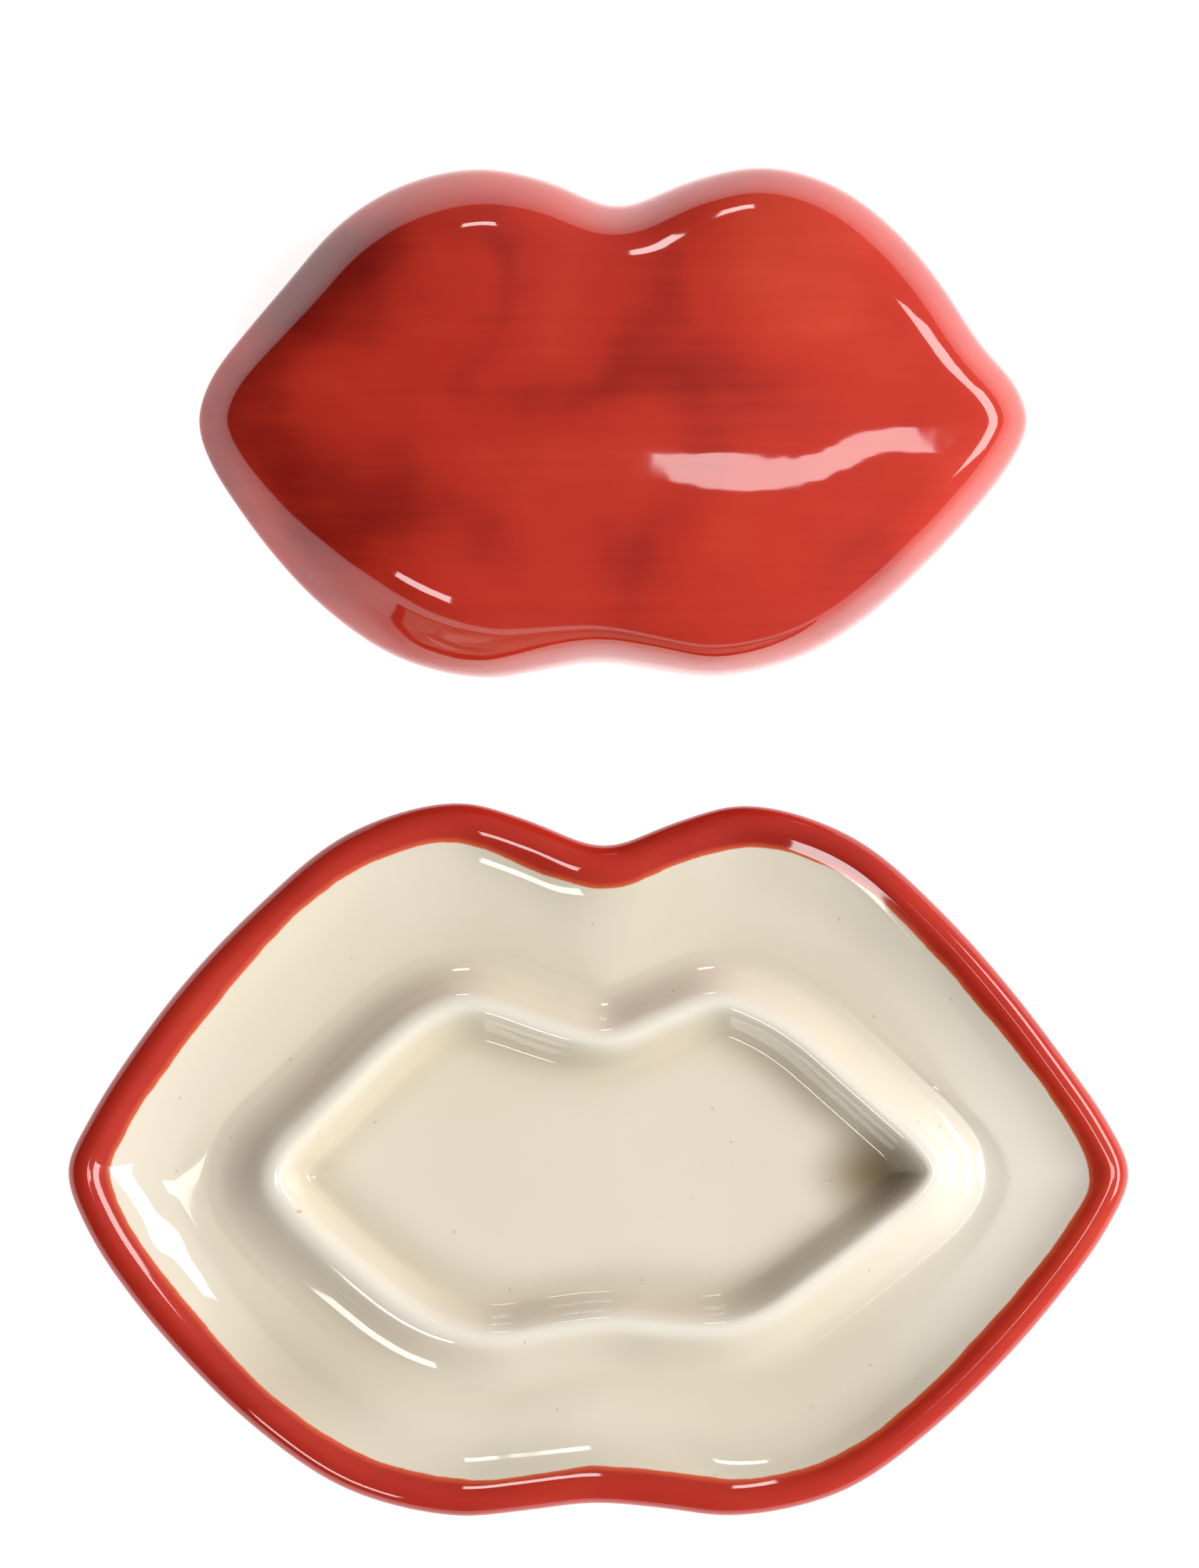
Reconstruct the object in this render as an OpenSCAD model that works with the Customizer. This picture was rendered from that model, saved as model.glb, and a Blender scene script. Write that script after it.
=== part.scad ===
// Lip-shaped covered dish in glazed earthenware, in two pieces.
// dish: a shallow lip-shaped bowl with a rolled rim, and a raised ridge of
//       the same outline round a flat well in its middle.
// lid:  a hollow domed cover, open below, whose edge drops over the ridge.
// The dish stands on the origin. The lid stands behind it on the same table.
// +X runs along the mouth, +Y towards the upper lip, +Z up. Millimetres.

/* [Dish] */
// Length of the dish from corner to corner
dish_length = 200; // [185:1:215]
// Height of the rolled rim above the table
rim_height = 15; // [14.5:0.5:18]
// Radius of the rolled rim
rim_radius = 3.4; // [3:0.1:3.8]
// Thickness of the dish wall
dish_wall = 4.6; // [4:0.1:4.8]
// Height of the tray's floor at the foot of the ridge
tray_height = 7; // [6.5:0.25:7.5]
// How much higher the tray is where the lid's edge comes down on it
seat_rise = 1.8; // [1.4:0.1:2]

/* [Ridge and well] */
// Height of the ridge that keeps the lid in place
ridge_height = 13; // [12:0.5:14]
// How far the ridge's outer slope reaches from its crest
ridge_slope = 8.6; // [7.5:0.1:9]
// How far the well's wall reaches in from the crest
well_slope = 6.8; // [6:0.1:7.5]
// Height of the well's floor
well_height = 5; // [4.5:0.1:5.5]
// Depth of the recess under the well, inside the foot ring
foot_recess = 1.3; // [0.8:0.1:1.5]

/* [Lid] */
// Length of the lid from corner to corner
lid_length = 156; // [150:1:160]
// Height of the lid
lid_height = 50; // [44:1:60]
// Radius of the lid's shoulder
shoulder_radius = 15; // [12:0.5:17]
// Height of the dome above the shoulder
dome_height = 12; // [9:0.5:13]
// Thickness of the lid wall
lid_wall = 5; // [4:0.1:5.4]
// How far the lid's wall leans in from its edge to where it rounds over
lid_lean = 1; // [0.6:0.1:2.4]

/* [Layout] */
// Distance from the dish's centre back to the lid's centre
lid_back = 139; // [128:1:180]
// Sideways offset of the lid's centre from the dish's centre
lid_side = 3; // [-20:1:20]

/* [Hidden] */

// Points made on the curve between two control points
STEPS = 3;

// Every outline is a closed smooth curve through 32 points that run
// anticlockwise: right corner (0), upper lip's right shoulder (5) and
// peak (6), notch (8), left peak (10) and shoulder (11), left corner (16),
// lower lip's left bulge (22), its dip (24) and its right bulge (26).
// A point of one outline lies across the body from its namesakes on the
// others, so the surfaces between outlines are plain ruled lofts.

// Outer edge of the dish, for a dish 200 long
DISH_EDGE = [
    [100,-2.5], [96,7], [88.5,18], [77.5,32.5], [64,47.5], [48,61],
    [28,67], [14,63.5], [1,59], [-13,64], [-27,67.5],
    [-47.5,61.5], [-64,48], [-77.5,34], [-88.5,19.5], [-96,7.5], [-100,-2],
    [-96,-13.5], [-88.5,-25], [-78,-37.5], [-64.5,-50.5], [-47.5,-62],
    [-27.5,-67], [-14,-66], [-1,-64.5], [12,-65.5], [26,-67],
    [46,-62.5], [62.5,-51], [77,-37], [88,-24], [96,-12.5]];
// Crest of the ridge, for a dish 200 long
RIDGE_CREST = [
    [63,-2], [59.5,3.5], [53.5,9], [45,16.5], [37.5,23], [30,27.5],
    [22,30], [12,26.5], [1.5,22.5], [-10,25], [-24.5,29.5],
    [-33,26.5], [-41,20], [-48,13], [-54.5,6.5], [-59.5,1], [-61,-4],
    [-58,-9], [-51.5,-15.5], [-44,-22], [-37,-27.5], [-29.5,-31.5],
    [-20,-33.5], [-10,-32], [2,-30.5], [13,-31.5], [24,-31.5],
    [32,-28.5], [39,-23.5], [47,-17.5], [54,-12], [60.5,-6.5]];
// Outer edge of the lid about its own centre, for a lid 156 long
LID_EDGE = [
    [78,0], [75.5,7], [69,14.5], [61.5,26], [53,36], [41.5,44.5],
    [27.5,48], [13.5,45], [0.5,40], [-12,45], [-26,47.5],
    [-40.5,44], [-52,36.5], [-61.5,25.5], [-69.5,16], [-75.5,8], [-78,0],
    [-76,-7.5], [-70.5,-16.5], [-62.5,-27], [-53,-36.5], [-40,-45],
    [-24.5,-48.5], [-13.5,-47], [-3,-45.5], [7.5,-47], [19,-48.5],
    [35,-45], [47.5,-37.5], [59,-27], [68.5,-16.5], [75.5,-7]];

// Closed centripetal spline through control points
function knot(a, b) = sqrt(max(norm(b - a), 0.001));
function span(p0, p1, p2, p3, s) =
    let (t1 = knot(p0, p1), t2 = t1 + knot(p1, p2), t3 = t2 + knot(p2, p3),
         t = t1 + (t2 - t1) * s,
         a1 = ((t1 - t) * p0 + t * p1) / t1,
         a2 = ((t2 - t) * p1 + (t - t1) * p2) / (t2 - t1),
         a3 = ((t3 - t) * p2 + (t - t2) * p3) / (t3 - t2),
         b1 = ((t2 - t) * a1 + t * a2) / t2,
         b2 = ((t3 - t) * a2 + (t - t1) * a3) / (t3 - t1))
    ((t2 - t) * b1 + (t - t1) * b2) / (t2 - t1);
function curve(p) =
    let (n = len(p))
    [for (i = [0:n - 1]) for (k = [0:STEPS - 1])
        span(p[(i + n - 1) % n], p[i], p[(i + 1) % n], p[(i + 2) % n], k / STEPS)];

// Point of the spine, a straight line between the corners, that each point
// of an outline faces. The spine's ends are a fraction k of the way out.
function spine(c, cy, k) = [for (p = c) [p[0] * k, cy]];
// Way out of the outline at each point: half square to the curve and half
// away from the spine, long enough to move the edge by 1 mm square to it
function outward(c, s) =
    let (n = len(c))
    [for (i = [0:n - 1])
        let (d = c[(i + 1) % n] - c[(i + n - 1) % n],
             q = [d[1], -d[0]] / norm(d),
             r = (c[i] - s[i]) / norm(c[i] - s[i]),
             v = (q + r) / norm(q + r))
        v / (v * q)];

// One ring of points: outline c moved out by d, at height z
function ring(c, w, d, z) =
    [for (i = [0:len(c) - 1]) [c[i][0] + w[i][0] * d, c[i][1] + w[i][1] * d, z]];
// One ring a fraction f of the way from ring a to ring b
function between(a, b, f, z) =
    [for (i = [0:len(a) - 1])
        [a[i][0] + (b[i][0] - a[i][0]) * f, a[i][1] + (b[i][1] - a[i][1]) * f, z]];
// A ring drawn in to the spine by a fraction f
function drawn_in(a, s, f, z) = between(a, s, f, z);

// Closed skin over a list of rings, with a point closing each end
module skin(rings, first, last) {
    n = len(rings[0]);
    m = len(rings);
    pts = concat([for (r = rings) for (p = r) p], [first, last]);
    polyhedron(pts, concat(
        [for (j = [0:m - 2]) for (i = [0:n - 1])
            let (a = j * n + i, b = j * n + (i + 1) % n)
            [a, b, a + n]],
        [for (j = [0:m - 2]) for (i = [0:n - 1])
            let (a = j * n + i, b = j * n + (i + 1) % n)
            [b, b + n, a + n]],
        [for (i = [0:n - 1]) [m * n, (i + 1) % n, i]],
        [for (i = [0:n - 1]) [m * n + 1, (m - 1) * n + i, (m - 1) * n + (i + 1) % n]]),
        convexity = 6);
}

// Grinds off whatever hangs below the table, which leaves a flat edge to
// stand on
module ground_flat() {
    difference() {
        children();
        translate([-150, -150, -10]) cube([300, 300, 10]);
    }
}

dish_k = dish_length / 200;
spine_y = -4 * dish_k;
crest = curve(RIDGE_CREST * dish_k);
edge = curve(DISH_EDGE * dish_k);
crest_spine = spine(crest, spine_y, 0.7);
crest_way = outward(crest, crest_spine);
edge_way = outward(edge, spine(edge, 0, 0.7));

// Where the rolled rim runs into the bowl: the roll's normal there leans in
// by this angle, and the bowl goes on down the same slope for 2 mm
roll_turn = 28;
bowl_in = rim_radius * (1 + sin(roll_turn)) + 2;
bowl_z = rim_height - rim_radius * (1 - cos(roll_turn)) - 2 * tan(roll_turn);
tray_z = tray_height + 0.2;
seat_z = tray_z + seat_rise;
// Where the outside of the lid's edge comes down on the tray
seat = curve([for (p = LID_EDGE) (p + [-1, -3.5]) * dish_k]);
seat_way = outward(seat, spine(seat, -3.5 * dish_k, 0.7));
// Height of the tray a fraction f of the way from the ridge to the seat,
// and from the seat to the rim
function track(f) = tray_z + (seat_z - tray_z) * pow(f, 1.5);
function bowl(f) = seat_z + (bowl_z - seat_z) * (0.75 * f + 0.25 * f * f);

module dish() {
    well = ring(crest, crest_way, -well_slope, 0);
    base = ring(crest, crest_way, ridge_slope, 0);
    brim = ring(edge, edge_way, -bowl_in, 0);
    landing = ring(seat, seat_way, 0.6 * dish_k, 0);
    drop = ridge_height - well_height;
    rise = ridge_height - tray_z;
    color("#e8dfca")
    ground_flat()
    skin(concat(
        // well floor, from the middle out
        [for (f = [0.85, 0.5, 0.2]) drawn_in(well, crest_spine, f, well_height)],
        // well wall, up to the crest
        [for (q = [[1, 0.02], [0.82, 0.1], [0.65, 0.26], [0.5, 0.48], [0.34, 0.74], [0.18, 0.93]])
            ring(crest, crest_way, -well_slope * q[0], well_height + drop * q[1])],
        [ring(crest, crest_way, 0, ridge_height)],
        // outer slope of the ridge, down to the tray
        [for (q = [[0.16, 0.92], [0.31, 0.7], [0.49, 0.42], [0.7, 0.19], [1, 0.02]])
            ring(crest, crest_way, ridge_slope * q[0], tray_z + rise * q[1])],
        // tray, rising to the rim
        [for (f = [0.5, 1]) between(base, landing, f, track(f))],
        [for (f = [0.3, 0.65, 1]) between(landing, brim, f, bowl(f))],
        // rolled rim, over the top and under the outside
        [for (a = [28, 8, -12, -34, -58, -85, -115, -145])
            ring(edge, edge_way, -rim_radius * (1 + sin(a)), rim_height - rim_radius * (1 - cos(a)))],
        // underside, back down to the foot
        [for (f = [1, 0.5, 0]) between(landing, brim, f, bowl(f) - dish_wall - 0.2 * f)],
        [between(base, landing, 0.4, track(0.4) - dish_wall)],
        [ring(crest, crest_way, ridge_slope + 0.4, 1.6),
         ring(crest, crest_way, ridge_slope - 0.6, 0.4),
         ring(crest, crest_way, ridge_slope - 1.6, -0.6),
         ring(crest, crest_way, 3, -0.6),
         ring(crest, crest_way, 2, 0.4),
         ring(crest, crest_way, 1, foot_recess)],
        [drawn_in(ring(crest, crest_way, 1, 0), crest_spine, 0.5, foot_recess)]),
        [0, spine_y, well_height], [0, spine_y, foot_recess]);
}

lid_k = lid_length / 156;
lid_edge = curve(LID_EDGE * lid_k);
lid_spine = spine(lid_edge, 0, 0.5);
lid_way = outward(lid_edge, spine(lid_edge, 0, 0.7));
// The shoulder turns the leaning wall up to a slope of 45 degrees
function shoulder_in(a) = lid_lean + shoulder_radius * (cos(5) - cos(a));
function shoulder_up(a) = lid_height - dome_height - shoulder_radius * (sin(45) - sin(a));
wall_top = shoulder_up(5);
// Dome, as pairs: how far in from the shoulder towards the spine, and how
// far below the top the surface is there, both as parts of the whole
DOME = [[0.9, 0.005], [0.76, 0.04], [0.6, 0.12], [0.46, 0.23], [0.34, 0.35],
        [0.23, 0.5], [0.14, 0.66], [0.06, 0.85]];

module lid() {
    shoulder = ring(lid_edge, lid_way, -shoulder_in(45), 0);
    vault = ring(lid_edge, lid_way, -shoulder_in(45) - 0.8 * lid_wall, 0);
    ceiling = lid_height - lid_wall;
    color("#b8281c")
    translate([lid_side, lid_back, 0])
    ground_flat()
    skin(concat(
        // dome, from the middle out, and shoulder
        [for (q = DOME) drawn_in(shoulder, lid_spine, q[0], lid_height - dome_height * q[1])],
        [for (a = [45, 35, 25, 15]) ring(lid_edge, lid_way, -shoulder_in(a), shoulder_up(a))],
        // wall, down to the edge
        [for (q = [1, 0.7, 0.4, 0.15]) ring(lid_edge, lid_way, -lid_lean * q, wall_top * q + 1 - q)],
        [ring(lid_edge, lid_way, 0, 1.2),
         ring(lid_edge, lid_way, -0.4, 0.3),
         ring(lid_edge, lid_way, -1.4, -0.5),
         ring(lid_edge, lid_way, -lid_wall + 1.4, -0.5),
         ring(lid_edge, lid_way, -lid_wall + 0.4, 0.3),
         ring(lid_edge, lid_way, -lid_wall, 1.2)],
        // inside, up to the vault
        [for (q = [0.4, 0.75, 1])
            ring(lid_edge, lid_way, -lid_wall - lid_lean * q, (wall_top - 0.5 * lid_wall) * q + 1.2 * (1 - q))],
        [for (q = [[0, 0.94], [0.14, 0.63], [0.3, 0.38], [0.5, 0.17], [0.72, 0.04]])
            drawn_in(vault, lid_spine, q[0], ceiling - dome_height * q[1])]),
        [0, 0, lid_height], [0, 0, ceiling]);
}

dish();
lid();
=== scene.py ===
import math

import bpy
import numpy as np
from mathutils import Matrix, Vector


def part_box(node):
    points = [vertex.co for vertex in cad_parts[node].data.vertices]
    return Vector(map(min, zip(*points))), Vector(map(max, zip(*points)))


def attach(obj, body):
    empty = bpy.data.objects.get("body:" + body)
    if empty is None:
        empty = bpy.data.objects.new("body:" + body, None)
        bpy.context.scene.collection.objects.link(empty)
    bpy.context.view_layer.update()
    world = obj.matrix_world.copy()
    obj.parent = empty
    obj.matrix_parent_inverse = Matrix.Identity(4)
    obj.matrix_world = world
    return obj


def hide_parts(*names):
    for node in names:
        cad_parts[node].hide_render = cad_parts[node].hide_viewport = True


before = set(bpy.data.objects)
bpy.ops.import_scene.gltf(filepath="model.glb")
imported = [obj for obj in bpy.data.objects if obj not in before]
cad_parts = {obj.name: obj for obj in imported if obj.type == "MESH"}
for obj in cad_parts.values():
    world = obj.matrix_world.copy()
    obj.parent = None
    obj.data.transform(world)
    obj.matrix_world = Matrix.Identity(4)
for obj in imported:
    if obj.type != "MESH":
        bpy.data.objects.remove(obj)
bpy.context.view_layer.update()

# ---------------------------------------------------------------- sizes, mm
DISH_LENGTH, RIM_HEIGHT, RIM_RADIUS, DISH_WALL, TRAY_HEIGHT, SEAT_RISE = 200.0, 15.0, 3.4, 4.6, 7.0, 1.8
RIDGE_HEIGHT, RIDGE_SLOPE, WELL_SLOPE, WELL_HEIGHT, FOOT_RECESS = 13.0, 8.6, 6.8, 5.0, 1.3
LID_HEIGHT, LID_WALL, LID_LEAN, CEILING = 50.0, 5.0, 1.0, 33.5
ROLL_TURN = 34.0
SPINE_Y = -4.0
PER_SPAN = 12                      # points made between two control points

# the same outlines as the CAD model's, 32 points anticlockwise from the right corner
DISH_EDGE = [
    [100, -2.5], [96, 7], [88.5, 18], [77.5, 32.5], [64, 47.5], [48, 61],
    [28, 67], [14, 63.5], [1, 59], [-13, 64], [-27, 67.5],
    [-47.5, 61.5], [-64, 48], [-77.5, 34], [-88.5, 19.5], [-96, 7.5], [-100, -2],
    [-96, -13.5], [-88.5, -25], [-78, -37.5], [-64.5, -50.5], [-47.5, -62],
    [-27.5, -67], [-14, -66], [-1, -64.5], [12, -65.5], [26, -67],
    [46, -62.5], [62.5, -51], [77, -37], [88, -24], [96, -12.5]]
RIDGE_CREST = [
    [63, -2], [59.5, 3.5], [53.5, 9], [45, 16.5], [37.5, 23], [30, 27.5],
    [22, 30], [12, 26.5], [1.5, 22.5], [-10, 25], [-24.5, 29.5],
    [-33, 26.5], [-41, 20], [-48, 13], [-54.5, 6.5], [-59.5, 1], [-61, -4],
    [-58, -9], [-51.5, -15.5], [-44, -22], [-37, -27.5], [-29.5, -31.5],
    [-20, -33.5], [-10, -32], [2, -30.5], [13, -31.5], [24, -31.5],
    [32, -28.5], [39, -23.5], [47, -17.5], [54, -12], [60.5, -6.5]]
LID_EDGE = [
    [78, 0], [75.5, 7], [69, 14.5], [61.5, 26], [53, 36], [41.5, 44.5],
    [27.5, 48], [13.5, 45], [0.5, 40], [-12, 45], [-26, 47.5],
    [-40.5, 44], [-52, 36.5], [-61.5, 25.5], [-69.5, 16], [-75.5, 8], [-78, 0],
    [-76, -7.5], [-70.5, -16.5], [-62.5, -27], [-53, -36.5], [-40, -45],
    [-24.5, -48.5], [-13.5, -47], [-3, -45.5], [7.5, -47], [19, -48.5],
    [35, -45], [47.5, -37.5], [59, -27], [68.5, -16.5], [75.5, -7]]
# where the red brushwork on the rim stops and the cream begins
RED_STOPS = [
    [92.5, -3.5], [89, 6], [82, 16], [71.5, 29], [59, 43], [46, 54],
    [29, 59], [14.5, 55.5], [2, 51], [-10.5, 53.8], [-27.5, 60],
    [-45.5, 54.5], [-59.5, 43.5], [-71, 30.5], [-81, 17.5], [-88.5, 6.5], [-92, -2.5],
    [-88.5, -12], [-81, -22.5], [-70.5, -35], [-58.5, -46.5], [-43, -56],
    [-25, -60], [-13.5, -59], [-1, -57.5], [13, -58.5], [27.5, -60],
    [45, -55.5], [59, -45.5], [71, -33.5], [81, -22], [88.5, -12]]

rad = math.radians


# ---------------------------------------------------------------- outlines
def soften(p, sigma):
    """Gaussian smoothing round a closed list of points, sigma in points."""
    if sigma <= 0:
        return p
    n = len(p)
    k = np.fft.fftfreq(n)
    g = np.exp(-2 * (math.pi * k * sigma) ** 2)
    g = g.reshape((n,) + (1,) * (p.ndim - 1))
    return np.real(np.fft.ifft(np.fft.fft(p, axis=0) * g, axis=0))


def curve(points, sigma=1.6):
    """Closed centripetal spline through control points, PER_SPAN points a span."""
    P = np.array(points, float)
    n = len(P)
    out = []
    for i in range(n):
        p0, p1, p2, p3 = P[(i - 1) % n], P[i], P[(i + 1) % n], P[(i + 2) % n]
        t1 = np.linalg.norm(p1 - p0) ** 0.5
        t2 = t1 + np.linalg.norm(p2 - p1) ** 0.5
        t3 = t2 + np.linalg.norm(p3 - p2) ** 0.5
        for k in range(PER_SPAN):
            t = t1 + (t2 - t1) * k / PER_SPAN
            a1 = ((t1 - t) * p0 + t * p1) / t1
            a2 = ((t2 - t) * p1 + (t - t1) * p2) / (t2 - t1)
            a3 = ((t3 - t) * p2 + (t - t2) * p3) / (t3 - t2)
            b1 = ((t2 - t) * a1 + t * a2) / t2
            b2 = ((t3 - t) * a2 + (t - t1) * a3) / (t3 - t1)
            out.append(((t2 - t) * b1 + (t - t1) * b2) / (t2 - t1))
    return soften(np.array(out), sigma)


def spine(c, cy, k):
    return np.stack([c[:, 0] * k, np.full(len(c), cy)], 1)


def unit(v):
    return v / np.linalg.norm(v, axis=1, keepdims=True)


def outward(c, s):
    d = np.roll(c, -1, 0) - np.roll(c, 1, 0)
    q = unit(np.stack([d[:, 1], -d[:, 0]], 1))
    r = unit(c - s)
    v = unit(q + r)
    return v / np.sum(v * q, 1, keepdims=True)


def ring(c, w, d, z):
    p = c + w * d
    return np.column_stack([p, np.broadcast_to(z, (len(p),))])


def between(a, b, f, z):
    p = a[:, :2] + (b[:, :2] - a[:, :2]) * f
    return np.column_stack([p, np.broadcast_to(z, (len(p),))])


def inside(px, py, poly):
    """Which points lie inside a closed outline."""
    x1, y1 = poly[:, 0], poly[:, 1]
    x2, y2 = np.roll(x1, -1), np.roll(y1, -1)
    hit = np.zeros(px.shape, bool)
    for a, b, c, d in zip(x1, y1, x2, y2):
        if b == d:
            continue
        m = (b > py) != (d > py)
        hit ^= m & (px < (c - a) * (py - b) / (d - b) + a)
    return hit


def distance(px, py, poly):
    """Distance from points to a closed outline, positive outside it."""
    best = np.full(px.shape, 1e9)
    q = np.roll(poly, -1, 0)
    for a, b in zip(poly, q):
        d = b - a
        t = np.clip(((px - a[0]) * d[0] + (py - a[1]) * d[1]) / (d @ d), 0, 1)
        best = np.minimum(best, (px - a[0] - t * d[0]) ** 2 + (py - a[1] - t * d[1]) ** 2)
    best = np.sqrt(best)
    return np.where(inside(px, py, poly), -best, best)


class Field:
    """A smooth height over the plan, on a grid of 1 mm cells, read with cubic interpolation."""

    def __init__(self, x0, y0, cell, values):
        self.x0, self.y0, self.cell, self.v = x0, y0, cell, values

    def __call__(self, x, y):
        u, v = (x - self.x0) / self.cell, (y - self.y0) / self.cell
        h, w = self.v.shape
        i, j = np.floor(u).astype(int), np.floor(v).astype(int)
        fu, fv = u - i, v - j

        def weights(t):
            return [((-0.5 * t + 1) * t - 0.5) * t, (1.5 * t - 2.5) * t * t + 1,
                    ((-1.5 * t + 2) * t + 0.5) * t, (0.5 * t - 0.5) * t * t]

        wu, wv = weights(fu), weights(fv)
        out = np.zeros(np.shape(x))
        for b in range(4):
            for a in range(4):
                out += (wv[b] * wu[a] * self.v[np.clip(j + b - 1, 0, h - 1), np.clip(i + a - 1, 0, w - 1)])
        return out


def blur(v, sigma):
    """Gaussian blur of a grid by its Fourier transform, on a padded copy."""
    pad = 24
    p = np.pad(v, pad, mode="edge")
    ky, kx = np.fft.fftfreq(p.shape[0])[:, None], np.fft.fftfreq(p.shape[1])[None, :]
    g = np.exp(-2 * (math.pi * sigma) ** 2 * (kx ** 2 + ky ** 2))
    return np.real(np.fft.ifft2(np.fft.fft2(p) * g))[pad:-pad, pad:-pad]


def pillow(outline, sigma=1.6):
    """The height of a skin stretched over the outline and blown up a little, from 0 at it to 1 at its top."""
    lo, hi = outline.min(0) - 6, outline.max(0) + 6
    xs, ys = np.arange(lo[0], hi[0], 1.0), np.arange(lo[1], hi[1], 1.0)
    X, Y = np.meshgrid(xs, ys)
    m = inside(X, Y, outline)
    u = np.zeros(X.shape)
    odd = (np.add.outer(np.arange(len(ys)), np.arange(len(xs))) % 2).astype(bool)
    for _ in range(420):
        for colour in (m & odd, m & ~odd):
            s = np.zeros_like(u)
            s[1:-1, 1:-1] = (u[:-2, 1:-1] + u[2:, 1:-1] + u[1:-1, :-2] + u[1:-1, 2:] + 1.0) / 4
            u = np.where(colour, u + 1.93 * (s - u), u)
    u = blur(u / u.max(), sigma)
    return Field(lo[0], lo[1], 1.0, u)


def swell(x, y, spots):
    """Sum of soft hills and hollows: centre, reach along and across, turn in degrees, height."""
    z = np.zeros(np.shape(x))
    for cx, cy, rx, ry, turn, h in spots:
        c, s = math.cos(rad(turn)), math.sin(rad(turn))
        u, v = (x - cx) * c + (y - cy) * s, -(x - cx) * s + (y - cy) * c
        z += h * np.exp(-(u / rx) ** 2 - (v / ry) ** 2)
    return z


def smooth_along(P, sigma):
    """Smooths a stack of rings from ring to ring, its ends held."""
    if sigma <= 0:
        return P
    r = int(3 * sigma + 1)
    k = np.exp(-0.5 * (np.arange(-r, r + 1) / sigma) ** 2)
    k /= k.sum()
    first, last = P[:1], P[-1:]
    head = 2 * first - P[1:r + 1][::-1]
    tail = 2 * last - P[-r - 1:-1][::-1]
    Q = np.concatenate([head, P, tail], 0)
    out = sum(k[a] * Q[a:a + len(P)] for a in range(2 * r + 1))
    return out


def ease(t):
    t = np.clip(t, 0, 1)
    return t * t * (3 - 2 * t)


def mesh_from(name, P, at=(0, 0, 0), attributes=None):
    """A closed mesh from rings P[j, i] in mm. Each end ring is closed by quads across it."""
    m, n, _ = P.shape
    co = (P.reshape(-1, 3) + np.array(at)) * 0.001
    j, i = np.meshgrid(np.arange(m - 1), np.arange(n), indexing="ij")
    a, b = j * n + i, j * n + (i + 1) % n
    quads = np.stack([a, a + n, b + n, b], -1).reshape(-1, 4)
    faces = quads.tolist()
    h = n // 2
    for base, flip in ((0, False), ((m - 1) * n, True)):
        for q in range(h):
            f = [q, q + 1, n - q - 1, (n - q) % n]
            f = [x for p, x in enumerate(f) if x not in f[:p]]
            f = [base + x for x in f]
            faces.append(f[::-1] if flip else f)
    me = bpy.data.meshes.new(name)
    me.from_pydata(co.tolist(), [], faces)
    me.update()
    for key, values in (attributes or {}).items():
        at_ = me.attributes.new(key, "FLOAT", "POINT")
        at_.data.foreach_set("value", np.asarray(values, np.float32).reshape(-1))
    me.polygons.foreach_set("use_smooth", [True] * len(me.polygons))
    ob = bpy.data.objects.new(name, me)
    bpy.context.scene.collection.objects.link(ob)
    return ob


def profile(points, n, power=1.0):
    """n points on a smooth curve through (x, z) pairs, evenly spread along it."""
    P = np.array(points, float)
    d = np.concatenate([[0], np.cumsum(np.linalg.norm(np.diff(P, axis=0), axis=1))])
    # cubic Hermite through the pairs, slopes from neighbours
    m = np.gradient(P, d, axis=0)
    t = np.linspace(0, d[-1], n)
    k = np.clip(np.searchsorted(d, t, side="right") - 1, 0, len(P) - 2)
    h = (d[k + 1] - d[k])[:, None]
    u = ((t - d[k])[:, None]) / h
    return ((2 * u ** 3 - 3 * u ** 2 + 1) * P[k] + (u ** 3 - 2 * u ** 2 + u) * h * m[k]
            + (-2 * u ** 3 + 3 * u ** 2) * P[k + 1] + (u ** 3 - u ** 2) * h * m[k + 1])


# ---------------------------------------------------------------- the dish
crest = curve(RIDGE_CREST, 2.0)
edge = curve(DISH_EDGE, 2.0)
crest_spine = spine(crest, SPINE_Y, 0.7)
crest_way = outward(crest, crest_spine)
edge_way = outward(edge, spine(edge, 0, 0.7))
red_stops = curve(RED_STOPS, 1.6)

TRAY_Z = TRAY_HEIGHT + 0.2
BOWL_IN = RIM_RADIUS * (1 + math.sin(rad(ROLL_TURN))) + 2
BOWL_Z = RIM_HEIGHT - RIM_RADIUS * (1 - math.cos(rad(ROLL_TURN))) - 2 * math.tan(rad(ROLL_TURN))


seat = curve(np.array(LID_EDGE) + [-1, -3.5], 2.0)
seat_way = outward(seat, spine(seat, -3.5, 0.7))




def round_dish(pairs):
    """A value at every point round the dish from (control point, value) pairs."""
    k, v = zip(*pairs)
    n = PER_SPAN * len(DISH_EDGE)
    return soften(np.interp(np.arange(n) / PER_SPAN, k, v, period=len(DISH_EDGE)), 8.0)


# how tightly the tray turns up into the rim, and how far the ridge's outer slope spreads
TURN_UP = round_dish([(0, 0.2), (3, 0.0), (5, -0.5), (6.5, -0.5), (8, 0.6), (9, 1.0), (11, 0.9), (13, 0.5), (15, 0.1), (16, 0.05), (19, 0.05), (21, 0.0), (27, 0.0), (30, 0.2)])
SEAT_UP = round_dish([(0, 1.5), (3, 1.6), (4, 1.8), (6, 1.7), (8, 1.0), (10, 0.8), (12, 1.4), (14, 1.2), (16, 0.3), (19, 0.3), (21, 1.5), (29, 1.8)])
SPREAD = round_dish([(0, 1.0), (3, 0.6), (6, 0.6), (10, 1.2), (13, 2.4), (16, 3.8), (20, 3.4), (21.5, 1.6), (24, 0.8), (28, 0.6)])


def track(f):
    return TRAY_Z + SEAT_UP * f ** 1.3


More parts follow.
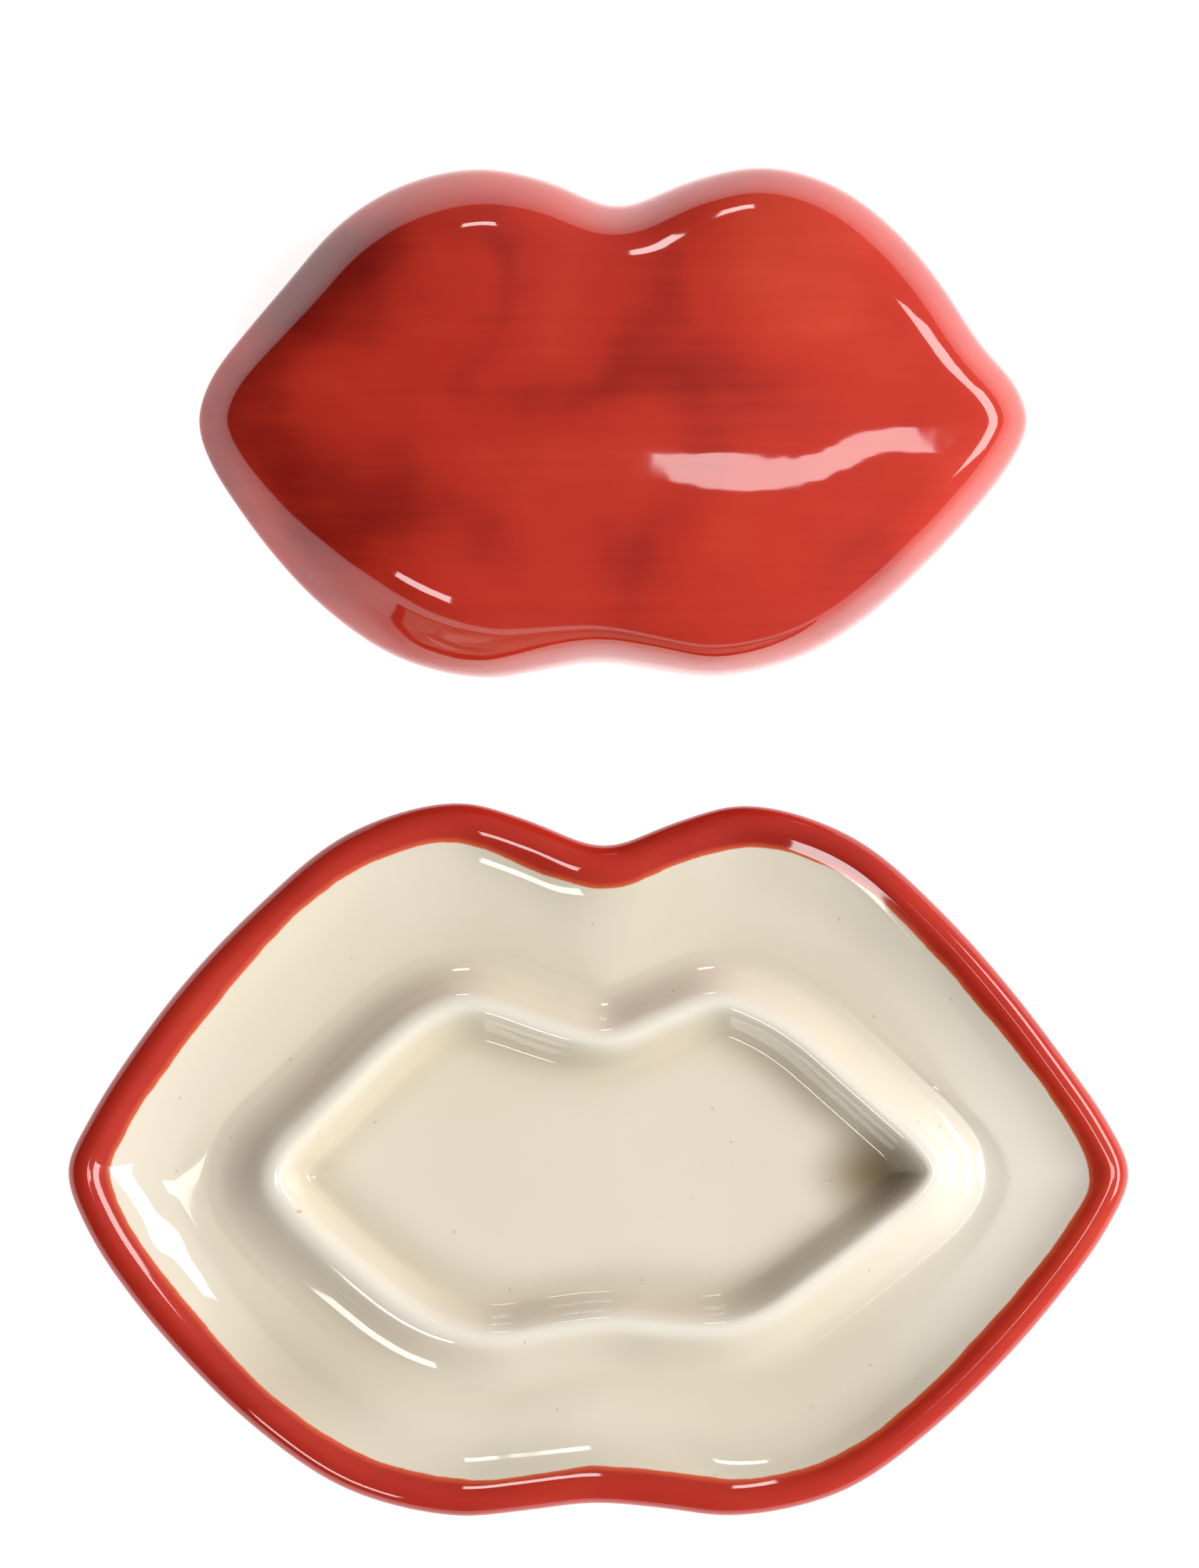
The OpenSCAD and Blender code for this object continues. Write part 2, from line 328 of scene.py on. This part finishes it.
def bowl(f):
    g = (1 - TURN_UP) * (0.55 * f + 0.45 * f ** 2.2) + TURN_UP * (0.45 * f + 0.55 * f ** 5)
    return TRAY_Z + SEAT_UP + (BOWL_Z - TRAY_Z - SEAT_UP) * g


# hollows and hills left in the clay by hand
DISH_SPOTS = [
    (-20, 2, 30, 16, 10, 0.25), (26, -6, 24, 14, -15, -0.2), (4, 12, 22, 9, 0, -0.15),
    (-81.5, -15, 3.2, 2.2, -55, 0.3), (-74, -27, 4, 3, -55, -0.25), (-70, 24, 18, 10, 45, 0.3), (72, 26, 16, 9, -45, -0.35), (-44, -47, 16, 7, -35, 0.25),
    (50, -46, 18, 8, 35, -0.3), (-6, 44, 20, 6, 0, 0.25), (10, -50, 22, 5, 0, -0.2)]


def make_dish():
    well = ring(crest, crest_way, -WELL_SLOPE, 0)
    reach = (RIDGE_SLOPE + SPREAD)[:, None]
    base = ring(crest, crest_way, reach, 0)
    brim = ring(edge, edge_way, -BOWL_IN, 0)
    landing = ring(seat, seat_way, 0.6, 0)
    drop, rise = RIDGE_HEIGHT - WELL_HEIGHT, RIDGE_HEIGHT - TRAY_Z
    R = []
    # well floor
    for f in np.linspace(0.985, 0.0, 26)[:-1]:
        R.append(between(well, crest_spine, f, WELL_HEIGHT))
    # well wall
    wall = profile([[-1, 0.0], [-0.86, 0.05], [-0.7, 0.2], [-0.52, 0.46], [-0.34, 0.76], [-0.17, 0.95], [0, 1.0]], 26)
    for q in wall:
        R.append(ring(crest, crest_way, WELL_SLOPE * q[0], WELL_HEIGHT + drop * q[1]))
    # outer slope
    slope = profile([[0, 1.0], [0.15, 0.94], [0.32, 0.72], [0.5, 0.42], [0.7, 0.18], [0.86, 0.06], [1, 0.03]], 26)
    for q in slope[1:]:
        R.append(ring(crest, crest_way, reach * q[0], TRAY_Z + rise * q[1]))
    top_of_tray = len(R)
    for f in np.linspace(0, 1, 18)[1:]:
        R.append(between(base, landing, f, track(f)))
    for f in np.linspace(0, 1, 20)[1:]:
        R.append(between(landing, brim, f, bowl(f)))
    brim_row = len(R)
    # rolled rim
    for a in np.linspace(ROLL_TURN, -150, 40):
        R.append(ring(edge, edge_way, -RIM_RADIUS * (1 + math.sin(rad(a))), RIM_HEIGHT - RIM_RADIUS * (1 - math.cos(rad(a)))))
    under_row = len(R)
    for f in np.linspace(1, 0, 16):
        R.append(between(landing, brim, f, bowl(f) - DISH_WALL - 0.2 * f))
    for f in np.linspace(1, 0.4, 8)[1:]:
        R.append(between(base, landing, f, track(f) - DISH_WALL))
    foot_row = len(R)
    foot = profile([[RIDGE_SLOPE + 1.4, 2.2], [RIDGE_SLOPE + 0.4, 1.5], [RIDGE_SLOPE - 0.4, 0.45], [RIDGE_SLOPE - 1.0, 0.05], [RIDGE_SLOPE - 1.5, 0.0]], 8)
    for q in foot:
        R.append(ring(crest, crest_way, q[0], max(q[1], 0)))
    for d in (5.6, 4.0, 3.0):
        R.append(ring(crest, crest_way, d, 0))
    for q in profile([[2.6, 0.02], [2.1, 0.3], [1.5, 0.9], [0.8, 1.25], [-0.4, FOOT_RECESS]], 8):
        R.append(ring(crest, crest_way, q[0], q[1]))
    floor = ring(crest, crest_way, -0.4, 0)
    for f in np.linspace(0, 0.985, 16)[1:]:
        R.append(between(floor, crest_spine, f, FOOT_RECESS))
    P = np.array(R)
    # smooth from ring to ring, and a little round
    P[:foot_row] = smooth_along(P[:foot_row], 1.3)
    P = np.stack([soften(p, 1.2 + 3.3 * float(ease((50 - k) / 30.0))) for k, p in enumerate(P)])
    # hand-made unevenness of the upper side, and of the wall below it
    x, y = P[..., 0], P[..., 1]
    s = swell(x, y, DISH_SPOTS)
    keep = np.ones(len(P))
    keep[brim_row - 6:under_row] = np.concatenate([np.linspace(1, 0.25, 6), np.full(under_row - brim_row, 0.25)])
    keep[foot_row - 4:] = 0
    P[..., 2] += s * keep[:, None]
    P[foot_row + 8:foot_row + 11, :, 2] = 0
    P[..., 2] = np.maximum(P[..., 2], 0)
    # how far each point is past the line where the red stops, in mm
    paint = distance(x, y, red_stops)
    k = np.arange(len(P))
    past = np.where(k < under_row - 6, 0, 1)
    lower = RIM_RADIUS * 1.35 - np.broadcast_to(-distance(x, y, edge), x.shape)
    paint = np.where((k < under_row - 6)[:, None], paint, lower)
    bare = np.zeros(x.shape)
    bare[foot_row + 3:foot_row + 13] = 1
    # the cream is painted paler over the ridge's crest, partly thin glaze and partly a painted highlight, and darker
    # at the foot of each slope, partly pooled glaze and partly painted shade
    off = distance(x, y, crest)
    upper = (k < brim_row)[:, None]
    thin = np.exp(-(off / 2.4) ** 2) * upper
    pool_and_shade = (0.9 * np.exp(-((off + 6.4) / 3.0) ** 2) + 0.55 * np.exp(-((off - 1.0 - reach[:, 0]) / 5.0) ** 2)) * upper
    return mesh_from("lip_dish", P, (0, 0, 0), {"paint": paint, "bare": bare, "thin": thin, "pool_and_shade": pool_and_shade})


# ---------------------------------------------------------------- the lid
lid_edge = curve(LID_EDGE, 2.0)
lid_way = outward(lid_edge, spine(lid_edge, 0, 0.7))
DOME = 11.5


def round_lid(pairs):
    """A value at every point round the lid from (control point, value) pairs."""
    k, v = zip(*pairs)
    n = PER_SPAN * len(LID_EDGE)
    return soften(np.interp(np.arange(n) / PER_SPAN, k, v, period=len(LID_EDGE)), 10.0)


# the slope of the lid's side, in degrees, at distances in from its edge:
# where the shoulder is tight, and where it is broad
TIGHT = [(0, 88), (0.3, 85), (0.7, 76), (1.2, 68), (2.2, 62), (3.8, 57), (4.7, 47), (5.3, 32), (6.2, 18), (8, 8), (11, 0)]
BROAD = [(0, 88), (0.3, 85), (0.8, 75), (1.4, 67), (2.8, 60), (4.6, 52), (6.0, 43), (7.6, 33), (9.4, 22), (11.6, 10), (14, 0)]
LOW = [(0, 80), (0.2, 70), (0.5, 60), (1.0, 55), (2.4, 52), (4.2, 49), (5.0, 42), (5.6, 32), (6.6, 22), (8.6, 12), (11.6, 0)]
BREADTH = round_lid([(0, 0.0), (3, 0.15), (5, 0.3), (6, 0.1), (8, 0.0), (9, 0.5), (10, 1.0), (12, 0.6), (14, 0.1),
                     (16, 0.0), (18, 0.5), (20, 1.4), (22, 1.5), (24, 0.5), (26, 0.4), (28, 0.2), (30, 0.0)])
LOWNESS = round_lid([(0, 0.0), (9, 0.0), (11, 0.4), (13, 1.0), (19, 1.0), (21, 0.6), (22, 0.2), (23, 0.0)])
# extra steepness low on the wall towards the front
FRONT = round_lid([(0, 0.2), (10, 0.0), (20, 0.0), (22, 0.7), (24, 1.0), (27, 1.0), (30, 0.4)])
STEP_IN = 72


def side_profile():
    """Distance in and drop below the level top, for every point round the lid, from the edge in."""
    t = np.linspace(0, 1, STEP_IN) ** 1.5
    k = np.linspace(0, 1, len(TIGHT))
    d, a = [], []
    for table in (TIGHT, BROAD, LOW):
        table = np.array(table, float)
        d.append(np.interp(t, table[:, 0] / table[-1, 0], table[:, 0]))
        a.append(np.interp(t, table[:, 0] / table[-1, 0], table[:, 1]))
    b = BREADTH[None, :]
    w = LOWNESS[None, :]
    near = d[0][:, None] * (1 - w) + d[2][:, None] * w
    steep = a[0][:, None] * (1 - w) + a[2][:, None] * w
    dist = near + (d[1] - d[0])[:, None] * b
    angle = np.clip(steep + (a[1] - a[0])[:, None] * b, 0, 88)
    angle += FRONT[None, :] * 9.0 * np.clip((angle - 48) / 10, 0, 1) * np.clip((84 - angle) / 12, 0, 1)
    slope = np.tan(np.radians(angle))
    fall = np.zeros(dist.shape)
    for j in range(STEP_IN - 2, -1, -1):
        fall[j] = fall[j + 1] + (dist[j + 1] - dist[j]) * (slope[j] + slope[j + 1]) / 2
    return dist, fall


LID_SPOTS = [
    # soft valley of the mouth, and the lips either side of it
    (-30, 3, 30, 6, -4, -0.45), (34, -1, 26, 7, 8, -0.24), (20.5, -6.0, 5.5, 2.0, 4, 0.11), (-36, -28, 13, 7, -20, 0.9), (10, 33, 9, 6, 15, -0.2), (13, 36, 13, 7, 18, -0.5),
    (26, -20, 26, 11, 0, 0.5), (-30, -22, 22, 12, 10, 0.5),
    (28, 22, 18, 12, -10, 0.4), (-30, 24, 20, 12, 8, 0.4),
    # dents
    (-8, 18, 10, 14, 20, -0.45), (6, -24, 9, 12, -10, -0.35), (50, -12, 10, 7, 30, -0.25),
    (-52, 8, 9, 12, 0, 0.25), (-16, -8, 14, 8, 0, -0.2), (46, 14, 12, 8, -30, -0.3)]


def make_lid():
    dist, fall = side_profile()
    level = LID_HEIGHT - DOME
    top = ring(lid_edge, lid_way, -dist[-1][:, None], 0)
    mid = spine(lid_edge, 0, 0.5)
    skin = pillow(ring(lid_edge, lid_way, -0.6, 0)[:, :2])
    R, S = [], []
    for f in np.linspace(0.985, 0, 60)[:-1]:
        R.append(between(top, mid, f, level)); S.append(1.0)
    for j in range(STEP_IN - 1, -1, -1):
        R.append(ring(lid_edge, lid_way, -dist[j][:, None], level - fall[j])); S.append(1.0)
    wall_top = level - fall[0]
    for q in np.linspace(1, 0.05, 22)[1:]:
        R.append(ring(lid_edge, lid_way, -0.25 * (1 - q), wall_top * q + 1.2 * (1 - q))); S.append(1.0)
    outer = len(R)
    for q in profile([[0.25, 1.1], [0.4, 0.5], [0.8, 0.12], [1.3, 0]], 7):
        R.append(ring(lid_edge, lid_way, -q[0], max(q[1], 0))); S.append(0.0)
    for q in (2.0, 3.0):
        R.append(ring(lid_edge, lid_way, -q, 0)); S.append(0.0)
    for q in profile([[LID_WALL - 1.2, 0], [LID_WALL - 0.6, 0.12], [LID_WALL - 0.15, 0.5], [LID_WALL, 1.2]], 7):
        R.append(ring(lid_edge, lid_way, -q[0], max(q[1], 0))); S.append(0.0)
    rim_end = len(R)
    for q in np.linspace(0.05, 1, 20)[1:]:
        R.append(ring(lid_edge, lid_way, -LID_WALL - LID_LEAN * q, (CEILING - 8) * q + 1.2 * (1 - q))); S.append(0.0)
    ri = 8.0
    for a in np.linspace(5, 90, 16)[1:]:
        d = LID_LEAN + LID_WALL + ri * (math.cos(rad(5)) - math.cos(rad(a)))
        z = CEILING - 8 + ri * (math.sin(rad(a)) - math.sin(rad(5)))
        R.append(ring(lid_edge, lid_way, -d, z)); S.append(0.9)
    vault = ring(lid_edge, lid_way, -LID_LEAN - LID_WALL - ri, 0)
    zc = R[-1][0, 2]
    for f in np.linspace(0, 0.985, 34)[1:]:
        R.append(between(vault, mid, f, zc)); S.append(0.9)
    P, S = np.array(R), np.array(S)
    x, y = P[..., 0], P[..., 1]
    rise = skin(x, y)
    # the dome lifts everything above the wall
    u = rise * DOME * ease((P[..., 2] - 8) / 14.0)
    P[..., 2] += np.where(S[:, None] > 0, u, 0)
    dents = swell(x, y, LID_SPOTS) * ease((P[..., 2] - 32) / 8.0)
    P[..., 2] += np.where(S[:, None] > 0, dents, 0)
    P[..., 2] = np.minimum(P[..., 2], LID_HEIGHT)
    P[:outer] = smooth_along(P[:outer], 1.6)
    P[rim_end:] = smooth_along(P[rim_end:], 1.6)
    P = np.stack([soften(p, 2.0 if k < outer else 1.0) for k, p in enumerate(P)])
    k = np.arange(len(P))
    inner = np.broadcast_to(np.where(k >= outer + 8, 1.0, 0.0)[:, None], x.shape)
    bare = np.zeros(x.shape)
    bare[outer + 3:outer + 13] = 1
    at = (lid_place[0], lid_place[1], 0)
    return mesh_from("lip_lid", P, at, {"inner": inner, "bare": bare})


lid_lo, lid_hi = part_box("lid")
lid_place = ((lid_lo.x + lid_hi.x) / 2 * 1000, (lid_lo.y + lid_hi.y) / 2 * 1000 + 0.25)

dish = make_dish()
lid = make_lid()


# ---------------------------------------------------------------- materials
def new_material(name):
    m = bpy.data.materials.new(name)
    m.use_nodes = True
    nt = m.node_tree
    nt.nodes.clear()
    return m, nt


class Nodes:
    def __init__(self, nt):
        self.nt = nt

    def add(self, kind, **inputs):
        n = self.nt.nodes.new(kind)
        for k, v in inputs.items():
            if k.startswith("p_"):
                setattr(n, k[2:], v)
        for k, v in inputs.items():
            if k.startswith("p_"):
                continue
            key = int(k[1:]) if k[0] == "i" and k[1:].isdigit() else k.replace("_", " ")
            s = n.inputs[key]
            if isinstance(v, bpy.types.NodeSocket):
                self.nt.links.new(v, s)
            else:
                s.default_value = v
        return n

    def math(self, op, a, b=0.0, clamp=False):
        return self.add("ShaderNodeMath", p_operation=op, p_use_clamp=clamp, i0=a, i1=b).outputs[0]

    def mix(self, f, a, b):
        n = self.nt.nodes.new("ShaderNodeMix")
        n.data_type = "RGBA"
        for s, v in ((n.inputs[0], f), (n.inputs[6], a), (n.inputs[7], b)):
            if isinstance(v, bpy.types.NodeSocket):
                self.nt.links.new(v, s)
            else:
                s.default_value = v
        return n.outputs[2]

    def ramp(self, f, lo, hi):
        """0 at lo, 1 at hi, eased"""
        return self.add("ShaderNodeMapRange", p_interpolation_type="SMOOTHSTEP", Value=f, From_Min=lo, From_Max=hi).outputs[0]

    def noise(self, vec, scale, detail=2.0, rough=0.5, distortion=0.0):
        return self.add("ShaderNodeTexNoise", Vector=vec, Scale=scale, Detail=detail, Roughness=rough, Distortion=distortion).outputs[0]

    def stretched(self, vec, sx, sy, sz, off=(0, 0, 0)):
        n = self.add("ShaderNodeMapping", Vector=vec)
        n.inputs["Scale"].default_value = (sx, sy, sz)
        n.inputs["Location"].default_value = off
        return n.outputs[0]

    def blob(self, vec, cx, cy, rx, ry):
        """A soft spot in plan: 1 at its middle, 0 at its reach. Millimetres."""
        m = self.stretched(vec, 1000.0 / rx, 1000.0 / ry, 0.0, (-cx / rx, -cy / ry, 0.0))
        d = self.add("ShaderNodeVectorMath", p_operation="LENGTH", i0=m).outputs["Value"]
        return self.math("SUBTRACT", 1.0, self.ramp(d, 0.0, 1.0))

    def attribute(self, name):
        return self.add("ShaderNodeAttribute", p_attribute_name=name).outputs["Fac"]


def c4(r, g, b):
    return (r, g, b, 1.0)


# where the lid's red is painted darker (+) or lighter (-): middle, reach and amount, in mm. Most are the glaze lying
# thicker or thinner; the dark ones at the lid's left edge are painted shade on its left shoulder and wall
PATCHES = [
    (-64, 152, 8, 34, 0.18), (-53, 113, 11, 9, 0.16), (-52, 166, 16, 11, 0.28), (-21.5, 163, 6, 13, 0.20), (8.5, 164, 9, 11, 0.14),
    (20, 148, 22, 5, 0.14), (40, 141, 20, 4, 0.10), (-28, 149, 18, 4, 0.10), (8, 114, 12, 9, 0.24),
    (-27, 117, 9, 6, 0.10), (-45, 126, 15, 14, 0.10), (-1, 145, 8, 6, 0.10), (52, 116, 14, 8, 0.05),
    (-35, 166, 10, 12, -0.10), (31, 165, 12, 11, -0.08), (48, 158, 13, 10, -0.10), (-27, 132, 15, 9, -0.14),
    (-41, 140, 14, 6, -0.08), (32, 112, 16, 8, -0.04), (60, 126, 12, 9, -0.06), (-45, 148, 16, 8, -0.12), (25, 123, 20, 8, -0.06)]


def red_colour(N, vec, patches=()):
    """Red glaze laid on with a soft brush in strokes along the mouth: cloudy depth, fine streaks, and given patches
    darker or lighter, some of which are painted shade.
    """
    cloud = N.noise(N.stretched(vec, 1.2, 1.0, 1.0, (0.013, 0.0, 0.0)), 24.0, 2.0, 0.45, 0.3)
    wide = N.noise(N.stretched(vec, 0.8, 1.2, 1.0, (0.31, 0.17, 0.0)), 11.0, 2.0, 0.5)
    streak = N.noise(N.stretched(vec, 14.0, 420.0, 160.0), 1.0, 3.0, 0.62, 0.25)
    streak2 = N.noise(N.stretched(vec, 5.0, 130.0, 90.0, (0.5, 0.2, 0.1)), 1.0, 3.0, 0.55, 0.5)
    tone_and_shade = N.math("ADD", N.math("MULTIPLY", cloud, 0.38), N.math("MULTIPLY", wide, 0.30))
    tone_and_shade = N.math("ADD", tone_and_shade, 0.33)
    tone_and_shade = N.math("ADD", tone_and_shade, N.math("MULTIPLY", N.math("SUBTRACT", streak, 0.5), 0.09))
    tone_and_shade = N.math("ADD", tone_and_shade, N.math("MULTIPLY", N.math("SUBTRACT", streak2, 0.5), 0.10))
    # the patches have wandering outlines
    drift = N.add("ShaderNodeTexNoise", Vector=vec, Scale=38.0, Detail=2.0, Roughness=0.55).outputs["Color"]
    drift = N.add("ShaderNodeVectorMath", p_operation="SUBTRACT", i0=drift, i1=(0.5, 0.5, 0.5)).outputs[0]
    drift = N.add("ShaderNodeVectorMath", p_operation="MULTIPLY", i0=drift, i1=(0.05, 0.028, 0.0)).outputs[0]
    loose = N.add("ShaderNodeVectorMath", p_operation="ADD", i0=vec, i1=drift).outputs[0]
    # the patches darken or lighten the red; the dark ones at the lid's left edge are painted shade
    for cx, cy, rx, ry, amount in patches:
        tone_and_shade = N.math("SUBTRACT", tone_and_shade, N.math("MULTIPLY", N.blob(loose, cx, cy, rx * 2.0, ry * 2.0), amount * 0.55))
    f = N.ramp(tone_and_shade, 0.36, 0.98)
    return f


def red_glaze():
    m, nt = new_material("red_glaze")
    N = Nodes(nt)
    vec = N.add("ShaderNodeTexCoord").outputs["Object"]
    # the patches include painted shade at the lid's left edge
    f = red_colour(N, vec, PATCHES)
    deep, mid, thin = c4(0.20, 0.005, 0.003), c4(0.50, 0.026, 0.012), c4(0.62, 0.056, 0.024)
    col = N.mix(N.ramp(f, 0.0, 0.55), deep, mid)
    col = N.mix(N.ramp(f, 0.5, 1.0), col, thin)
    cream = c4(0.74, 0.66, 0.52)
    inner = N.attribute("inner")
    col = N.mix(N.ramp(inner, 0.3, 0.7), col, cream)
    bare = N.attribute("bare")
    clay = c4(0.62, 0.53, 0.41)
    col = N.mix(N.ramp(bare, 0.3, 0.7), col, clay)
    rough = N.math("ADD", N.math("MULTIPLY", N.noise(vec, 60.0, 2.0), 0.04), 0.03)
    rough = N.math("ADD", rough, N.math("MULTIPLY", bare, 0.55))
    ripple = N.noise(vec, 90.0, 2.0, 0.45)
    brushed = N.noise(N.stretched(vec, 30.0, 260.0, 150.0), 1.0, 2.0, 0.5)
    height = N.math("ADD", N.math("MULTIPLY", ripple, 1.0), N.math("MULTIPLY", brushed, 0.18))
    bump = N.add("ShaderNodeBump", Strength=0.12, Distance=0.0006, Height=height).outputs[0]
    bsdf = N.add("ShaderNodeBsdfPrincipled", Base_Color=col, Roughness=rough, Normal=bump)
    bsdf.inputs["IOR"].default_value = 1.5
    out = N.add("ShaderNodeOutputMaterial")
    nt.links.new(bsdf.outputs[0], out.inputs[0])
    return m


def dish_glaze():
    m, nt = new_material("dish_glaze")
    N = Nodes(nt)
    vec = N.add("ShaderNodeTexCoord").outputs["Object"]
    f = red_colour(N, vec)
    deep, mid, thin = c4(0.30, 0.010, 0.005), c4(0.46, 0.024, 0.012), c4(0.58, 0.05, 0.022)
    red = N.mix(N.ramp(f, 0.0, 0.55), deep, mid)
    red = N.mix(N.ramp(f, 0.5, 1.0), red, thin)
    # cream, a little warmer and cooler in wide clouds
    warm = N.noise(N.stretched(vec, 1.0, 1.3, 1.0, (0.7, 0.1, 0.0)), 18.0, 2.0, 0.5)
    cream = N.mix(N.ramp(warm, 0.3, 0.7), c4(0.72, 0.655, 0.515), c4(0.745, 0.675, 0.555))
    # painted shade at the foot of the ridge's slopes, partly pooled glaze
    cream = N.mix(N.math("MULTIPLY", N.attribute("pool_and_shade"), 0.5), cream, c4(0.60, 0.515, 0.36))
    upper = N.ramp(N.add("ShaderNodeSeparateXYZ", i0=vec).outputs["Z"], 0.003, 0.0042)
    # painted shadow in the corner at the well's right end, on the upper side only
    well_corner_shadow = N.math("MULTIPLY", N.blob(vec, 51.5, -2.5, 15.0, 11.5), upper)
    # painted shade darkens the cream at the lower left, and painted light brightens it towards the right
    painted_shade_low_left = N.blob(vec, -58.0, -42.0, 32.0, 22.0)
    cream = N.mix(N.math("MULTIPLY", painted_shade_low_left, 0.85), cream, c4(0.57, 0.495, 0.37))
    painted_light_right = N.blob(vec, 88.0, -4.0, 52.0, 74.0)
    cream = N.mix(N.math("MULTIPLY", painted_light_right, 0.95), cream, c4(0.88, 0.82, 0.705))
    # the painted shadow in the well's right corner
    cream = N.mix(N.math("MULTIPLY", well_corner_shadow, 0.95), cream, c4(0.22, 0.155, 0.075))
    # the ridge's crest painted paler: partly thin glaze, partly a painted highlight
    cream = N.mix(N.math("MULTIPLY", N.attribute("thin"), 0.6), cream, c4(0.88, 0.83, 0.74))
    # pinholes and specks
    cell = N.add("ShaderNodeTexVoronoi", Vector=vec, Scale=160.0)
    speck = N.math("MULTIPLY", N.math("LESS_THAN", cell.outputs["Distance"], 0.05), 0.35)
    cream = N.mix(speck, cream, c4(0.40, 0.30, 0.20))
    # a small stray touch of red beside the ridge's left end
    stray = N.math("MULTIPLY", N.blob(vec, -56.3, -9.6, 0.9, 0.45), upper)
    cream = N.mix(N.math("MULTIPLY", stray, 0.6), cream, c4(0.62, 0.10, 0.05))
    # the hand-painted edge wanders a little
    paint = N.attribute("paint")
    wander = N.math("MULTIPLY", N.math("SUBTRACT", N.noise(vec, 120.0, 3.0, 0.6), 0.5), 0.9)
    wobble = N.math("MULTIPLY", N.math("SUBTRACT", N.noise(vec, 30.0, 1.0, 0.5), 0.5), 0.8)
    p = N.math("ADD", N.math("ADD", paint, wander), wobble)
    edge_thin = N.math("SUBTRACT", 1.0, N.ramp(p, 0.0, 1.3))
    red = N.mix(N.math("MULTIPLY", edge_thin, 0.75), red, c4(0.72, 0.13, 0.045))
    col = N.mix(N.ramp(p, -0.18, 0.18), cream, red)
    bare = N.attribute("bare")
    col = N.mix(N.ramp(bare, 0.3, 0.7), col, c4(0.62, 0.53, 0.41))
    rough = N.math("ADD", N.math("MULTIPLY", N.noise(vec, 60.0, 2.0), 0.04), 0.035)
    rough = N.math("ADD", rough, N.math("MULTIPLY", bare, 0.55))
    ripple = N.noise(vec, 70.0, 2.0, 0.45)
    bump = N.add("ShaderNodeBump", Strength=0.1, Distance=0.0006, Height=ripple).outputs[0]
    bsdf = N.add("ShaderNodeBsdfPrincipled", Base_Color=col, Roughness=rough, Normal=bump)
    bsdf.inputs["IOR"].default_value = 1.5
    out = N.add("ShaderNodeOutputMaterial")
    nt.links.new(bsdf.outputs[0], out.inputs[0])
    return m


lid.data.materials.append(red_glaze())
dish.data.materials.append(dish_glaze())

for piece, body, node, slot in ((dish, "dish", "dish", "dish_glaze"), (lid, "lid", "lid", "lid_glaze")):
    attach(piece, body)
    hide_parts(node)

# ---------------------------------------------------------------- stage
bpy.ops.mesh.primitive_plane_add(size=14, location=(0, 0.07, -0.0001))
floor = bpy.context.object
floor.name = "stage_floor"
fm, nt = new_material("white_table")
N = Nodes(nt)
diff = N.add("ShaderNodeBsdfDiffuse")
diff.inputs["Color"].default_value = (0.93, 0.93, 0.93, 1)
em = N.add("ShaderNodeEmission")
em.inputs["Color"].default_value = (1, 1, 1, 1)
em.inputs["Strength"].default_value = 0.78
add = N.add("ShaderNodeAddShader")
nt.links.new(diff.outputs[0], add.inputs[0])
nt.links.new(em.outputs[0], add.inputs[1])
out = N.add("ShaderNodeOutputMaterial")
nt.links.new(add.outputs[0], out.inputs[0])
floor.data.materials.append(fm)

world = bpy.data.worlds.new("studio")
bpy.context.scene.world = world
world.use_nodes = True
nt = world.node_tree
nt.nodes.clear()
N = Nodes(nt)
geo = N.add("ShaderNodeTexCoord").outputs["Generated"]
sep = N.add("ShaderNodeSeparateXYZ", i0=geo).outputs[0]
f = N.ramp(sep, -0.75, 0.85)
bg = N.add("ShaderNodeBackground")
nt.links.new(N.mix(f, c4(0.045, 0.045, 0.047), c4(0.54, 0.53, 0.52)), bg.inputs[0])
bg.inputs[1].default_value = 1.0
out = N.add("ShaderNodeOutputWorld")
nt.links.new(bg.outputs[0], out.inputs[0])

AIM = Vector((0.0, 0.06, 0.02))


def softbox(name, azimuth, polar, reach, wide, tall, watts, turn=0, colour=(1, 1, 1)):
    """A rectangular light. Azimuth is anticlockwise from +X, polar is the angle from straight up."""
    a, p = rad(azimuth), rad(polar)
    d = Vector((math.cos(a) * math.sin(p), math.sin(a) * math.sin(p), math.cos(p)))
    data = bpy.data.lights.new(name, "AREA")
    data.shape = "RECTANGLE"
    data.size, data.size_y = wide, tall
    data.energy = watts
    data.color = colour
    ob = bpy.data.objects.new(name, data)
    bpy.context.scene.collection.objects.link(ob)
    ob.location = AIM + d * reach
    # local -Z faces the object, local X runs level
    x = Vector((-math.sin(a), math.cos(a), 0))
    z = d
    y = z.cross(x)
    c, t = math.cos(rad(turn)), math.sin(rad(turn))
    x, y = x * c + y * t, y * c - x * t
    from mathutils import Matrix
    ob.matrix_world = Matrix((
        (x.x, y.x, z.x, ob.location.x), (x.y, y.y, z.y, ob.location.y), (x.z, y.z, z.z, ob.location.z), (0, 0, 0, 1)))
    ob.visible_camera = False
    return ob


softbox("key_right", 6, 54, 1.4, 1.36, 0.4, 19)
softbox("strip_back", 95, 60, 1.4, 0.22, 0.12, 1.1)
softbox("small_front", -117, 60, 1.4, 0.52, 0.27, 5.2)
softbox("overhead", -9, 16, 1.6, 0.19, 0.7, 3.6, turn=14)

# ---------------------------------------------------------------- camera
HEIGHT = 4.0
cam_data = bpy.data.cameras.new("camera")
cam_data.sensor_width = 36
cam_data.lens = 36 * (HEIGHT - 0.008) / 0.2953
cam_data.clip_end = 60
cam = bpy.data.objects.new("camera", cam_data)
bpy.context.scene.collection.objects.link(cam)
cam.location = (0.0002, 0.0708, HEIGHT)
bpy.context.scene.camera = cam
bpy.context.scene.view_settings.view_transform = "Standard"
